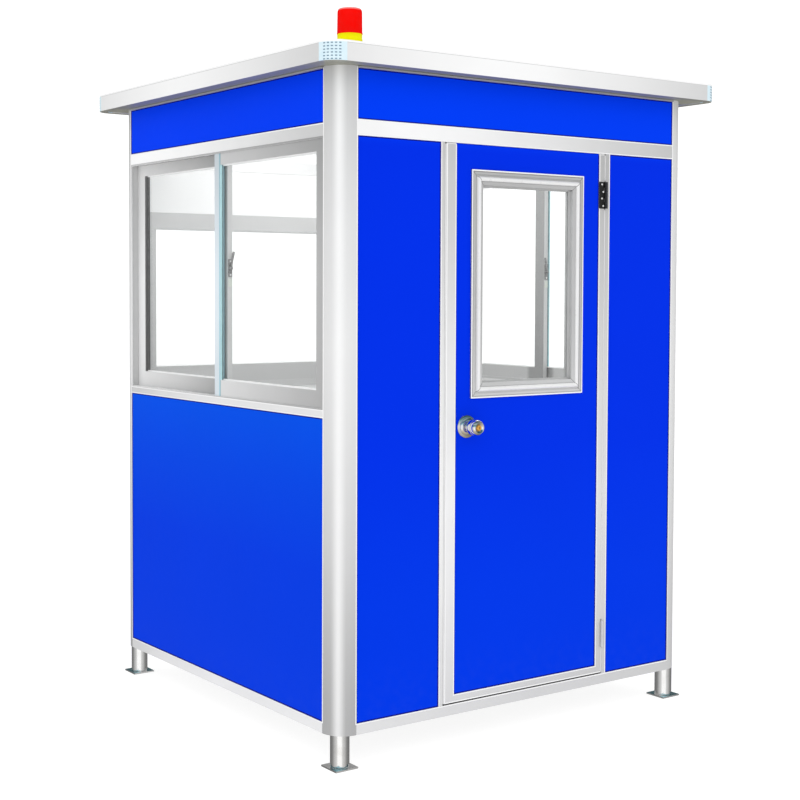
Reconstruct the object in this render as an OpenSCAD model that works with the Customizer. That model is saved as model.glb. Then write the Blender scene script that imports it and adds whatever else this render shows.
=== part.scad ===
// Security guard booth: a square cabin of sandwich panels in an aluminium frame,
// on four pipe legs, with a glazed door, two sliding windows and one fixed window.
// Millimetres, +Z up. The origin is on the ground under the middle of the cabin.
// The door is in the front wall, which faces -Y. The side walls face -X and +X.

/* [Overall] */
// Width of the cabin, along the front
body_w = 1500; // [1200:10:2400]
// Depth of the cabin, front to back
body_d = 1450; // [1200:10:2400]
// Height of the roof's top above the ground
roof_top = 2180; // [2140:5:2620]
// Clear height under the cabin
leg_h = 105; // [60:5:250]

/* [Frame] */
// Radius of the quarter-round corner posts
post_r = 75; // [70:1:90]
// Wall of the post extrusion
post_t = 3; // [2:0.5:5]
// Depth of the wall frame, from the outer to the inner face
wall_t = 50; // [50:1:65]
// Height of the base beams
base_h = 35; // [25:1:80]
// Wall of the hollow beams
beam_t = 3; // [2:0.5:5]
// Height of the window board under the side and back windows
sill_h = 25; // [15:1:40]
// Height of the header beams on the front and back
header_h = 49; // [30:1:80]
// Height of the header beams over the side windows
side_header_h = 39; // [30:1:80]
// Top of the lower wall panels above the ground
sill_z = 1070; // [800:10:1200]
// Underside of the header beams above the ground
header_z = 1922; // [1850:1:1980]
// How far the panel skins lie behind the frame's face
skin_in = 2; // [1:0.5:4]

/* [Roof] */
// Overhang of the roof past the walls
roof_over = 77; // [40:1:150]
// Thickness of the roof's edge
roof_t = 54; // [40:1:80]
// Sheet thickness of the edge trim
fascia_t = 3; // [2:0.5:5]
// Width of the edge trim's flanges
fascia_lip = 30; // [15:1:40]
// Outer radius of the roof's corner caps
cap_r = 60; // [45:1:90]

/* [Door] */
// Width of the fixed wall panel on the door's handle side
front_left_w = 317; // [150:1:400]
// Width of the door leaf
door_w = 683; // [550:1:850]
// Thickness of the door leaf
door_t = 38; // [34:1:40]
// Running gap over, under and on the hinge side of the door leaf
door_gap = 5; // [5:0.5:8]
// Running gap on the handle side, where the leaf's inner edge swings wider
door_gap_l = 6.5; // [6.5:0.5:9]
// Face width of the door post on the handle side
jamb_l_w = 16; // [12:1:40]
// Face width of the door post on the hinge side
jamb_r_w = 19; // [16:1:40]
// Face width of the leaf's stile on the handle side
stile_l_w = 39; // [30:1:60]
// Face width of the leaf's stile on the hinge side
stile_r_w = 25; // [24:1:60]
// Height of the leaf's bottom rail
door_rail_h = 25; // [20:1:60]
// Thickness of the stop that the leaf closes on
stop_t = 7; // [4:0.5:7]
// How far the stop stands into the doorway
stop_w = 14; // [9:1:20]

/* [Door window] */
// Clear width of the door's window
glass_w = 388; // [250:1:420]
// Clear height of the door's window
glass_h = 632; // [300:1:650]
// Distance from the leaf's handle edge to the middle of the window
glass_x = 342; // [320:1:350]
// Height of the window's middle above the ground
glass_z = 1478; // [1440:1:1500]
// Face width of the window's trim
trim_w = 48; // [25:1:50]
// How far the outer trim stands out from the leaf
trim_out = 11; // [5:0.5:14]
// Wall of the sleeve that lines the window hole
sleeve_t = 6; // [3:0.5:10]
// Thickness of the glass panes
pane_t = 5; // [4:0.5:6]

/* [Knob] */
// Distance from the leaf's handle edge to the knob's axis
knob_in = 86; // [75:1:110]
// Height of the knob's axis above the ground
knob_z = 1025; // [900:5:1080]
// Radius of the knob's ball
knob_r = 26; // [20:0.5:30]
// Share of the ball's radius at which its face is cut flat
knob_flat = 0.78; // [0.6:0.02:0.95]
// How far the knob stands out from the leaf
knob_out = 68; // [60:1:74]
// Radius of the round plate behind the knob
rose_r = 37; // [33:1:40]
// Height of the round plate
rose_h = 12; // [8:0.5:16]
// Radius of the knob's neck
neck_r = 12; // [9:0.5:15]
// Air round the neck in the lock hole of the leaf
lock_gap = 6; // [2:0.5:10]
// Radial running clearance of the neck and the hinge pins
run_gap = 0.05; // [0.02:0.01:0.1]

/* [Hinges] */
// Height of a hinge
hinge_h = 90; // [70:1:120]
// Distance from the leaf's top and bottom edge to the middle of a hinge
hinge_in = 135; // [80:1:250]
// Radius of the hinge's knuckles
knuckle_r = 5.5; // [5:0.1:6.6]
// Radius of the hinge pin
pin_r = 2.5; // [2:0.1:3]
// Thickness of the hinge's leaves
hinge_t = 2; // [1.5:0.1:2.2]
// Width of the hinge leaf on the face of the stile
hinge_face_w = 22; // [20:1:30]
// Thickness of the lower hinge's leaf on the edge of the stile
hinge_thin_t = 1.2; // [1:0.1:1.5]
// Number of knuckles on a hinge
knuckles = 5; // [3:2:7]
// Air between two knuckles
knuckle_gap = 0.4; // [0.2:0.1:1]
// Air between a hinge leaf and the other leaf's knuckles
leaf_gap = 0.6; // [0.4:0.1:1]
// Width of the hinge leaves that lie in the gap
hinge_edge_w = 28; // [20:1:34]

/* [Windows] */
// Sheet thickness of the window frames
win_t = 3; // [2:0.5:4]
// How far the frame's outer lip covers the sashes at the sides
lip_side = 9; // [5:1:15]
// How far the frame's outer lip covers the sashes at the top
lip_top = 6; // [4:1:15]
// Height of the two guide rails that the sashes run on
track_h = 10; // [5:1:15]
// Air between a sash and the lips of its frame
lip_gap = 1.5; // [1:0.1:2]
// Air over a sash
sash_gap = 1; // [0.5:0.5:3]
// Thickness of a sash
sash_t = 19; // [16:0.5:20]
// Depth of the outer sash's face behind the wall's face
outer_sash_y = 4; // [3.5:0.5:5]
// Distance of a pane from the back of its sash
pane_back = 2; // [1:0.5:5]
// Height of a sash's bottom rail
rail_low_h = 55; // [35:1:80]
// Height of a sash's top rail
rail_top_h = 40; // [30:1:70]
// Width of the outer sash's jamb stile
outer_stile_w = 40; // [30:1:70]
// Width of the inner sash's jamb stile
inner_stile_w = 58; // [30:1:70]
// Width of the outer sash's meeting stile
outer_meet_w = 40; // [30:1:70]
// Width of the inner sash's meeting stile
inner_meet_w = 52; // [30:1:80]
// Where the meeting stiles begin, from the wall's middle towards the front
meet_x = -22.5; // [-60:0.5:40]
// Height of the window catch above the ground
catch_z = 1531; // [1300:1:1700]
// Top of the back window above the ground
back_win_top = 1751; // [1500:1:1850]
// Height of the back window's bottom member
back_low_h = 69; // [40:1:90]
// Height of the back window's top member
back_top_h = 61; // [40:1:90]
// Width of the back window's side members
back_side_w = 45; // [30:1:80]

/* [Legs] */
// Outer radius of the pipe legs
leg_r = 30; // [20:1:32]
// Wall of the pipe legs
leg_t = 3; // [2:0.5:5]
// Distance from the walls' outer faces to a leg's axis
leg_in = 44; // [40:1:48]
// Side of the square foot plates
foot_w = 82; // [70:1:88]
// Thickness of the foot plates
foot_t = 5; // [4:0.5:10]

/* [Warning light] */
// Distance of the light from the left wall's face
light_x = 113; // [60:1:400]
// Distance of the light from the front wall's face
light_y = 100; // [60:1:400]
// Radius of the light
light_r = 39.5; // [30:0.5:60]
// Height of the light's base
light_base_h = 61; // [30:1:90]
// Height of the light's lens
light_lens_h = 78; // [40:1:120]

/* [Hidden] */

$fn = 64;
cut = 1;                                   // how far a cutting tool passes the faces it cuts
seat_gap = 0.3;                            // air between pieces that seat in each other

// Levels above the ground
floor_z = leg_h + base_h;                  // top of the base beams and the floor
win_z = sill_z + sill_h;                   // underside of the windows
frieze_z = header_z + header_h;
side_frieze_z = header_z + side_header_h;
roof_z = roof_top - roof_t;                // underside of the roof's edge trim
wall_top = roof_z + fascia_t;              // the walls end on the underside of the roof panel

// Spans of the walls between the posts
front_span = body_w - 2 * post_r;
side_span = body_d - 2 * post_r;
skin_t = wall_t - 2 * skin_in;             // thickness of the sandwich panels

// Doorway and door leaf, in the front wall's own frame
way_x0 = -front_span / 2 + front_left_w + jamb_l_w;
door_x0 = way_x0 + door_gap_l;
door_x1 = door_x0 + door_w;
way_x1 = door_x1 + door_gap;
door_z0 = floor_z + door_gap;
door_z1 = header_z - door_gap;
glass_cx = door_x0 + glass_x;
knob_x = door_x0 + knob_in;
hinge_x = (door_x1 + way_x1) / 2;          // the hinge axis stands over the gap
hinge_y = -knuckle_r;
hinge_zs = [door_z0 + hinge_in, door_z1 - hinge_in];

// Sliding windows, in a side wall's own frame with +X towards the front
inner_sash_y = wall_t - outer_sash_y - sash_t;
sash_z0 = win_z + win_t;
sash_z1 = header_z - win_t - sash_gap;
pane_in = sash_t - pane_t - pane_back;     // depth of a pane behind its sash's face
pane_z0 = sash_z0 + rail_low_h;
pane_z1 = sash_z1 - rail_top_h;
sash_end = side_span / 2 - win_t - seat_gap;
inner_edge_x = meet_x + inner_meet_w;      // front edge of the inner sash

// Roof plan
roof_w = body_w + 2 * roof_over;
roof_d = body_d + 2 * roof_over;

// ---------------------------------------------------------------- helpers

// A box from its lowest to its highest corner
module slab(low, high) {
    translate(low) cube(high - low);
}

// Wall frames: X runs along the wall, Y from its outer face inwards
module on_front() {
    translate([0, -body_d / 2, 0]) children();
}

module on_back() {
    rotate([0, 0, 180]) translate([0, -body_d / 2, 0]) children();
}

// side is -1 for the left wall and 1 for the right wall; +X runs to the front on both
module on_side(side) {
    mirror([side > 0 ? 1 : 0, 0, 0])
        rotate([0, 0, -90]) translate([0, -body_w / 2, 0]) children();
}

// Moves a piece drawn in the front left corner, from its sharp outer corner, to any corner
module at_corner(side_x, side_y) {
    mirror([side_x > 0 ? 1 : 0, 0, 0]) mirror([0, side_y > 0 ? 1 : 0, 0])
        translate([-body_w / 2, -body_d / 2, 0]) children();
}

// A flat ring in the wall's plane, open over the inner box
module wall_ring(low, high, in_low, in_high) {
    difference() {
        slab(low, high);
        slab([in_low[0], low[1] - cut, in_low[1]], [in_high[0], high[1] + cut, in_high[1]]);
    }
}

// A hollow beam along the wall, open at its ends
module beam(span, z0, z1) {
    difference() {
        slab([-span / 2, 0, z0], [span / 2, wall_t, z1]);
        slab([-span / 2 - cut, beam_t, z0 + beam_t],
             [span / 2 + cut, wall_t - beam_t, z1 - beam_t]);
    }
}

// A sandwich panel in a wall
module panel(x0, x1, z0, z1) {
    slab([x0, skin_in, z0], [x1, skin_in + skin_t, z1]);
}

// ---------------------------------------------------------------- base

module leg(side_x, side_y) {
    color("lightgray") at_corner(side_x, side_y) translate([leg_in, leg_in, 0]) {
        difference() {
            union() {
                translate([-foot_w / 2, -foot_w / 2, 0]) cube([foot_w, foot_w, foot_t]);
                cylinder(h = leg_h, r = leg_r);
            }
            translate([0, 0, foot_t]) cylinder(h = leg_h, r = leg_r - leg_t);
        }
    }
}

// Quarter-round extrusion with a solid foot at the height of the base beams
module post(side_x, side_y) {
    bore = post_r - post_t;
    color("gainsboro") at_corner(side_x, side_y) difference() {
        translate([0, 0, leg_h]) intersection() {
            translate([post_r, post_r, 0]) cylinder(h = wall_top - leg_h, r = post_r, $fn = 96);
            cube([post_r, post_r, wall_top - leg_h]);
        }
        translate([0, 0, floor_z]) intersection() {
            translate([post_r, post_r, 0]) cylinder(h = roof_top, r = bore, $fn = 96);
            cube([bore, bore, roof_top]);
        }
    }
}

module base_beams() {
    color("gainsboro") {
        on_front() {
            beam(front_span, leg_h, floor_z);
            slab([way_x0, wall_t - stop_t, floor_z], [way_x1, wall_t, floor_z + stop_w]);
        }
        on_back() beam(front_span, leg_h, floor_z);
        for (side = [-1, 1]) on_side(side) beam(side_span, leg_h, floor_z);
    }
}

module floor_panel() {
    notch = post_r - wall_t;
    color("darkgray") difference() {
        slab([-body_w / 2 + wall_t, -body_d / 2 + wall_t, leg_h],
             [body_w / 2 - wall_t, body_d / 2 - wall_t, floor_z]);
        for (side_x = [-1, 1], side_y = [-1, 1]) at_corner(side_x, side_y)
            slab([wall_t - cut, wall_t - cut, leg_h - cut],
                 [wall_t + notch, wall_t + notch, floor_z + cut]);
    }
}

// ---------------------------------------------------------------- walls

module panel_left_lower() {
    color("blue") on_side(-1) panel(-side_span / 2, side_span / 2, floor_z, sill_z);
}

module panel_right_lower() {
    color("blue") on_side(1) panel(-side_span / 2, side_span / 2, floor_z, sill_z);
}

module panel_back_lower() {
    color("blue") on_back() panel(-front_span / 2, front_span / 2, floor_z, sill_z);
}

module panel_back_upper() {
    color("blue") on_back() panel(-front_span / 2, front_span / 2, back_win_top, header_z);
}

module panel_front_left() {
    color("blue") on_front() panel(-front_span / 2, way_x0 - jamb_l_w, floor_z, header_z);
}

module panel_front_right() {
    color("blue") on_front() panel(way_x1 + jamb_r_w, front_span / 2, floor_z, header_z);
}

module sill_rails() {
    color("gainsboro") {
        on_back() beam(front_span, sill_z, win_z);
        for (side = [-1, 1]) on_side(side) beam(side_span, sill_z, win_z);
    }
}

module header_beams() {
    color("gainsboro") {
        on_front() {
            beam(front_span, header_z, frieze_z);
            slab([way_x0, wall_t - stop_t, header_z - stop_w], [way_x1, wall_t, header_z]);
        }
        on_back() beam(front_span, header_z, frieze_z);
        for (side = [-1, 1]) on_side(side) beam(side_span, header_z, side_frieze_z);
    }
}

module frieze_panels() {
    color("blue") {
        on_front() panel(-front_span / 2, front_span / 2, frieze_z, wall_top);
        on_back() panel(-front_span / 2, front_span / 2, frieze_z, wall_top);
        for (side = [-1, 1]) on_side(side)
            panel(-side_span / 2, side_span / 2, side_frieze_z, wall_top);
    }
}

// Door posts, each with the stop that the leaf closes on
module door_jamb_left() {
    color("gainsboro") on_front() {
        slab([way_x0 - jamb_l_w, 0, floor_z], [way_x0, wall_t, header_z]);
        slab([way_x0, wall_t - stop_t, floor_z + stop_w],
             [way_x0 + stop_w, wall_t, header_z - stop_w]);
    }
}

module door_jamb_right() {
    color("gainsboro") on_front() {
        slab([way_x1, 0, floor_z], [way_x1 + jamb_r_w, wall_t, header_z]);
        slab([way_x1 - stop_w, wall_t - stop_t, floor_z + stop_w],
             [way_x1, wall_t, header_z - stop_w]);
    }
}

// ---------------------------------------------------------------- sliding windows

// Frame with an outer lip, an inner lip and guide rails for two sashes
module window_frame(side) {
    half = side_span / 2;
    web_low = [-half + win_t, win_z + win_t];
    web_high = [half - win_t, header_z - win_t];
    color("silver") on_side(side) {
        wall_ring([-half, 0, win_z], [half, wall_t, header_z], web_low, web_high);
        wall_ring([-half, 0, win_z], [half, outer_sash_y - lip_gap, header_z],
                  [-half + lip_side, win_z + win_t], [half - lip_side, header_z - lip_top]);
        wall_ring([-half, wall_t - outer_sash_y + lip_gap, win_z], [half, wall_t, header_z],
                  [-half + lip_side, win_z + track_h], [half - lip_side, header_z - track_h]);
    }
}

// A sash from x0 to x1 at a depth, with its left and right stile widths
module sash(depth, x0, x1, left_w, right_w) {
    wall_ring([x0, depth, sash_z0], [x1, depth + sash_t, sash_z1],
              [x0 + left_w, pane_z0], [x1 - right_w, pane_z1]);
}

module outer_sash(side) {
    color("silver") on_side(side)
        sash(outer_sash_y, meet_x, sash_end, outer_meet_w, outer_stile_w);
}

module inner_sash(side) {
    color("silver") on_side(side)
        sash(inner_sash_y, -sash_end, inner_edge_x, inner_stile_w, inner_meet_w);
}

module sliding_glass(side) {
    color("lightcyan", 0.4) on_side(side) {
        slab([meet_x + outer_meet_w, outer_sash_y + pane_in, pane_z0],
             [sash_end - outer_stile_w, outer_sash_y + pane_in + pane_t, pane_z1]);
        slab([-sash_end + inner_stile_w, inner_sash_y + pane_in, pane_z0],
             [meet_x, inner_sash_y + pane_in + pane_t, pane_z1]);
    }
}

// Lever catches on the front edges of the inner meeting stiles
module window_catches() {
    plate = [4, 15, 60];
    hub_r = 7;
    hub_h = 9;
    lever = [5, 7, 57];
    lean = 12;
    for (side = [-1, 1]) color("dimgray") on_side(side)
        translate([inner_edge_x, inner_sash_y + sash_t / 2, catch_z]) {
            translate([0, -plate[1] / 2, -plate[2] / 2]) cube(plate);
            translate([plate[0] - cut, 0, 0]) rotate([0, 90, 0]) cylinder(h = hub_h + cut, r = hub_r);
            rotate([-lean, 0, 0]) translate([plate[0] + 2, -lever[1] / 2, 0]) cube(lever);
        }
}

// ---------------------------------------------------------------- back window

module window_frame_back() {
    half = front_span / 2;
    color("silver") on_back()
        wall_ring([-half, skin_in, win_z], [half, wall_t - skin_in, back_win_top],
                  [-half + back_side_w, win_z + back_low_h],
                  [half - back_side_w, back_win_top - back_top_h]);
}

module back_window_glass() {
    half = front_span / 2 - back_side_w;
    mid = (wall_t - pane_t) / 2;
    color("lightcyan", 0.4) on_back()
        slab([-half, mid, win_z + back_low_h], [half, mid + pane_t, back_win_top - back_top_h]);
}

// ---------------------------------------------------------------- roof

// Rounded rectangle of the roof's plan, inset from its edge
module roof_plan(inset, h) {
    r = cap_r - inset;
    w = roof_w - 2 * inset;
    d = roof_d - 2 * inset;
    translate([-w / 2 + r, -d / 2, 0]) cube([w - 2 * r, d, h]);
    translate([-w / 2, -d / 2 + r, 0]) cube([w, d - 2 * r, h]);
    for (side_x = [-1, 1], side_y = [-1, 1])
        translate([side_x * (w / 2 - r), side_y * (d / 2 - r), 0]) cylinder(h = h, r = r);
}

module roof_panel() {
    color("whitesmoke") translate([0, 0, wall_top]) roof_plan(fascia_t, roof_t - 2 * fascia_t);
}

// Straight channel of the edge trim, along X with its face at Y = 0
module fascia_run(length) {
    difference() {
        slab([-length / 2, 0, roof_z], [length / 2, fascia_lip, roof_top]);
        slab([-length / 2 - cut, fascia_t, wall_top],
             [length / 2 + cut, fascia_lip + cut, roof_top - fascia_t]);
    }
}

module roof_fascia() {
    color("white") {
        for (turn = [0, 180]) rotate([0, 0, turn])
            translate([0, -roof_d / 2, 0]) fascia_run(roof_w - 2 * cap_r);
        for (turn = [90, 270]) rotate([0, 0, turn])
            translate([0, -roof_w / 2, 0]) fascia_run(roof_d - 2 * cap_r);
    }
}

// Plastic corner pieces that carry the same channel round each corner
module roof_corner_caps() {
    color("azure") for (side_x = [-1, 1], side_y = [-1, 1])
        mirror([side_x > 0 ? 1 : 0, 0, 0]) mirror([0, side_y > 0 ? 1 : 0, 0])
            translate([-roof_w / 2 + cap_r, -roof_d / 2 + cap_r, roof_z]) difference() {
                intersection() {
                    cylinder(h = roof_t, r = cap_r);
                    translate([-cap_r, -cap_r, 0]) cube([cap_r, cap_r, roof_t]);
                }
                translate([0, 0, fascia_t])
                    cylinder(h = roof_t - 2 * fascia_t, r = cap_r - fascia_t);
                translate([0, 0, -cut]) cylinder(h = roof_t + 2 * cut, r = cap_r - fascia_lip);
            }
}

// ---------------------------------------------------------------- warning light

module at_light() {
    translate([-body_w / 2 + light_x, -body_d / 2 + light_y, roof_top - fascia_t]) children();
}

module warning_light_base() {
    step = 1;                              // the collar is this much slimmer than the foot
    collar_h = 18;
    color("gold") at_light() rotate_extrude()
        polygon([[0, 0], [light_r, 0], [light_r, light_base_h - collar_h],
                 [light_r - step, light_base_h - collar_h + step],
                 [light_r - step, light_base_h], [0, light_base_h]]);
}

module warning_light_lens() {
    draft = 2;                             // the lens narrows by this much to its shoulder
    bevel_w = 5;
    bevel_h = 8;
    shoulder_r = light_r - draft;
    color("red") at_light() translate([0, 0, light_base_h]) rotate_extrude()
        polygon([[0, 0], [light_r, 0], [shoulder_r, light_lens_h - bevel_h],
                 [shoulder_r - bevel_w, light_lens_h], [0, light_lens_h]]);
}

// ---------------------------------------------------------------- hinges

// Ranges of the knuckles with an even or an odd number
module knuckle_rows(first) {
    pitch = hinge_h / knuckles;
    for (row = [first:2:knuckles - 1])
        translate([0, 0, -hinge_h / 2 + row * pitch + knuckle_gap / 2])
            children();
}

// Half of a hinge that stands on the door post and holds the pin
module jamb_hinge_leaf(z) {
    pitch = hinge_h / knuckles;
    plate_x = way_x1 - hinge_x;
    translate([hinge_x, hinge_y, z]) {
        cylinder(h = hinge_h, r = pin_r, center = true);
        slab([plate_x - hinge_t, knuckle_r + leaf_gap, -hinge_h / 2],
             [plate_x, knuckle_r + hinge_edge_w, hinge_h / 2]);
        knuckle_rows(1) {
            cylinder(h = pitch - knuckle_gap, r = knuckle_r);
            slab([plate_x - hinge_t, 0, 0],
                 [plate_x, knuckle_r + 2 * leaf_gap, pitch - knuckle_gap]);
        }
    }
}

module jamb_hinge_leaves() {
    color("gray") on_front() for (z = hinge_zs) jamb_hinge_leaf(z);
}

// The door's half: its leaf lies on the stile's face, or in the gap
module door_hinge_leaf(z, on_face) {
    pitch = hinge_h / knuckles;
    edge_x = door_x1 - hinge_x;
    face_x = -knuckle_r - leaf_gap;
    translate([hinge_x, hinge_y, z]) difference() {
        union() {
            if (on_face) {
                slab([face_x - hinge_face_w, knuckle_r - hinge_t, -hinge_h / 2],
                     [face_x, knuckle_r, hinge_h / 2]);
            } else {
                slab([edge_x, knuckle_r + leaf_gap, -hinge_h / 2],
                     [edge_x + hinge_thin_t, knuckle_r + hinge_edge_w, hinge_h / 2]);
            }
            knuckle_rows(0) {
                cylinder(h = pitch - knuckle_gap, r = knuckle_r);
                if (on_face) {
                    slab([face_x - leaf_gap, knuckle_r - hinge_t, 0],
                         [0, knuckle_r, pitch - knuckle_gap]);
                } else {
                    slab([edge_x, 0, 0],
                         [edge_x + hinge_thin_t, knuckle_r + 2 * leaf_gap, pitch - knuckle_gap]);
                }
            }
        }
        cylinder(h = hinge_h + 2 * cut, r = pin_r + run_gap, center = true);
    }
}

module door_hinge_leaves() {
    color("silver") on_front() {
        door_hinge_leaf(hinge_zs[0], false);
        door_hinge_leaf(hinge_zs[1], true);
    }
}

// ---------------------------------------------------------------- door

// Two stiles and the bottom rail; the panel runs up between the stiles to the leaf's top
module door_frame() {
    color("gainsboro") on_front() difference() {
        slab([door_x0, 0, door_z0], [door_x1, door_t, door_z1]);
        slab([door_x0 + stile_l_w, -cut, door_z0 + door_rail_h],
             [door_x1 - stile_r_w, door_t + cut, door_z1 + cut]);
    }
}

module door_panel() {
    half_w = glass_w / 2 + sleeve_t;
    half_h = glass_h / 2 + sleeve_t;
    color("blue") on_front() difference() {
        slab([door_x0 + stile_l_w, skin_in, door_z0 + door_rail_h],
             [door_x1 - stile_r_w, door_t - skin_in, door_z1]);
        slab([glass_cx - half_w, -cut, glass_z - half_h],
             [glass_cx + half_w, door_t + cut, glass_z + half_h]);
        translate([knob_x, -cut, knob_z]) rotate([-90, 0, 0])
            cylinder(h = door_t + 2 * cut, r = neck_r + lock_gap);
    }
}

// One side of the window trim: a flange on the leaf and a sleeve that holds the pane
module trim_side(face, out, sleeve) {
    half_w = glass_w / 2;
    half_h = glass_h / 2;
    low = [glass_cx - half_w, glass_z - half_h];
    high = [glass_cx + half_w, glass_z + half_h];
    module ring(grow, y0, y1) {
        wall_ring([low[0] - grow, min(y0, y1), low[1] - grow],
                  [high[0] + grow, max(y0, y1), high[1] + grow], low, high);
    }
    ring(trim_w, face, face + out / 2);
    ring(trim_w * 2 / 3, face, face + out);
    ring(sleeve_t, face, sleeve);
}

module door_window_trim() {
    mid = door_t / 2;
    color("gainsboro") on_front() {
        trim_side(skin_in, -(trim_out + skin_in), mid - pane_t / 2);
        trim_side(door_t - skin_in, trim_out / 2 + skin_in, mid + pane_t / 2);
    }
}

module door_glass() {
    half_w = glass_w / 2 + sleeve_t;
    half_h = glass_h / 2 + sleeve_t;
    mid = (door_t - pane_t) / 2;
    color("lightcyan", 0.4) on_front()
        slab([glass_cx - half_w, mid, glass_z - half_h],
             [glass_cx + half_w, mid + pane_t, glass_z + half_h]);
}

// ---------------------------------------------------------------- knob

// Turns a profile drawn with its axis up so that it points out of the leaf
module at_knob(inside) {
    on_front() translate([knob_x, inside ? door_t - skin_in : skin_in, knob_z])
        rotate([inside ? -90 : 90, 0, 0]) children();
}

module door_knob_roses() {
    bore = neck_r + run_gap;
    rim_h = rose_h / 3;
    crown_r = neck_r + rose_h / 2;
    color("silver") for (inside = [false, true]) at_knob(inside) rotate_extrude()
        polygon([[bore, 0], [rose_r, 0], [rose_r, rim_h], [rose_r - rim_h, 2 * rim_h],
                 [crown_r, rose_h], [bore, rose_h]]);
}

// Half profile of a knob: neck and flattened ball
module knob_profile() {
    ball_z = knob_out - knob_r * knob_flat;
    square([neck_r, ball_z]);
    intersection() {
        translate([0, ball_z]) circle(r = knob_r);
        translate([0, ball_z - knob_r]) square([knob_r, knob_r * (1 + knob_flat)]);
    }
}

module door_knob() {
    color("silver") union() {
        for (inside = [false, true]) at_knob(inside) rotate_extrude() knob_profile();
        on_front() translate([knob_x, skin_in, knob_z]) rotate([-90, 0, 0])
            cylinder(h = door_t - 2 * skin_in, r = neck_r);
    }
}

// ---------------------------------------------------------------- output

leg(-1, -1);  // leg_front_left
leg(1, -1);  // leg_front_right
leg(-1, 1);  // leg_back_left
leg(1, 1);  // leg_back_right
post(-1, -1);  // post_front_left
post(1, -1);  // post_front_right
post(-1, 1);  // post_back_left
post(1, 1);  // post_back_right
base_beams();
floor_panel();
panel_left_lower();
panel_right_lower();
panel_back_lower();
panel_back_upper();
panel_front_left();
panel_front_right();
sill_rails();
header_beams();
frieze_panels();
door_jamb_left();
door_jamb_right();
window_frame(-1);  // window_frame_left
window_frame(1);  // window_frame_right
window_frame_back();
outer_sash(-1);  // left_sash_outer
inner_sash(-1);  // left_sash_inner
outer_sash(1);  // right_sash_outer
inner_sash(1);  // right_sash_inner
sliding_glass(-1);  // left_window_glass
sliding_glass(1);  // right_window_glass
back_window_glass();
window_catches();
roof_panel();
roof_fascia();
roof_corner_caps();
warning_light_base();
warning_light_lens();
jamb_hinge_leaves();
door_hinge_leaves();
door_frame();
door_panel();
door_window_trim();
door_glass();
door_knob_roses();
door_knob();
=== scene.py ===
# Security guard booth: the looks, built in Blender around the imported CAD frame.
# Metres, +Z up. The door is in the front wall, which faces -Y, and its handle is on the -X side.
import math

import bmesh
import bpy
from mathutils import Matrix, Vector


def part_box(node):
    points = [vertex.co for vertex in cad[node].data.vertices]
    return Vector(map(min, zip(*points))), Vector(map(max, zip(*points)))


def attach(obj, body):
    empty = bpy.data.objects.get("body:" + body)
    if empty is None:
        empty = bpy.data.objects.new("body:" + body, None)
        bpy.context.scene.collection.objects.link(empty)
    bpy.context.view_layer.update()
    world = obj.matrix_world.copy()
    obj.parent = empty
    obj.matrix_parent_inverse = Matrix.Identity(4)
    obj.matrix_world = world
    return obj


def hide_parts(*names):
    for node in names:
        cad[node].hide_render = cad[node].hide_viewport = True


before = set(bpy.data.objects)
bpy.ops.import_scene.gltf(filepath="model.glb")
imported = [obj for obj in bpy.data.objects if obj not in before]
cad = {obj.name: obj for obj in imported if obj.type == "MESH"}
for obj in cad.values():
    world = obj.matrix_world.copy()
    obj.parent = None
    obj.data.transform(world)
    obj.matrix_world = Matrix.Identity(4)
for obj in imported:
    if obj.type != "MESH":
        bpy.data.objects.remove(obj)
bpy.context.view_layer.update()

scene = bpy.context.scene
MM = 0.001


# ---- places taken from the frame

def box_of(*names, wall=Matrix.Identity(4)):
    """Lowest and highest corner of some CAD nodes at rest, in a wall's own frame."""
    to_wall = wall.inverted()
    corners = [to_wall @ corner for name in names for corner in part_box(name)]
    low = Vector([min(corner[axis] for corner in corners) for axis in range(3)])
    high = Vector([max(corner[axis] for corner in corners) for axis in range(3)])
    return low, high


def wall_frame(along, inwards, origin):
    """A wall's own frame: X runs along the wall, Y from its outer face inwards, Z up."""
    turn = Matrix((along, inwards, (0, 0, 1))).transposed().to_4x4()
    return Matrix.Translation(origin) @ turn


shell_low, shell_high = box_of("post_front_left", "post_back_right")
FRONT = wall_frame((1, 0, 0), (0, 1, 0), (0, shell_low.y, 0))
BACK = wall_frame((-1, 0, 0), (0, -1, 0), (0, shell_high.y, 0))
LEFT = wall_frame((0, -1, 0), (1, 0, 0), (shell_low.x, 0, 0))
RIGHT = wall_frame((0, -1, 0), (-1, 0, 0), (shell_high.x, 0, 0))
WALLS = {"front": FRONT, "back": BACK, "left": LEFT, "right": RIGHT}
SIDES = ("left", "right")

POST_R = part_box("post_front_left")[1].x - shell_low.x
FLOOR_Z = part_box("floor_panel")[1].z
HEADER_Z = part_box("panel_front_left")[1].z
FRIEZE_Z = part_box("header_beams")[1].z
SIDE_FRIEZE_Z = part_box("frieze_panels")[0].z
SILL_Z, WINDOW_Z = (corner.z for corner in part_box("sill_rails"))
ROOF_Z, ROOF_TOP = (corner.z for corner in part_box("roof_fascia"))
LIGHT_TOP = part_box("warning_light_lens")[1].z
SKIN_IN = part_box("panel_front_left")[0].y - shell_low.y

CAP_R = 60 * MM                 # outer radius of the roof's corner caps
HINGE_H = 90 * MM               # height of a hinge
DOOR_GAP = 5 * MM               # running gap on the hinge side of the door leaf
DOOR_SKINS = (2 * MM, 36 * MM)  # depths of the leaf's outer and inner skins behind the wall's face
FOOT_T = 5 * MM                 # thickness of the foot plates
PIPE_R = 30 * MM                # outer radius of the pipe legs


# ---- procedural finishes

STUDIO = 1.1                    # how bright the studio's light is on a wall


def tone(value):
    """The neutral colour that shows as one sRGB grey value, from 0 to 255, in the studio's light."""
    return rgb(value, value, value)


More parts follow.
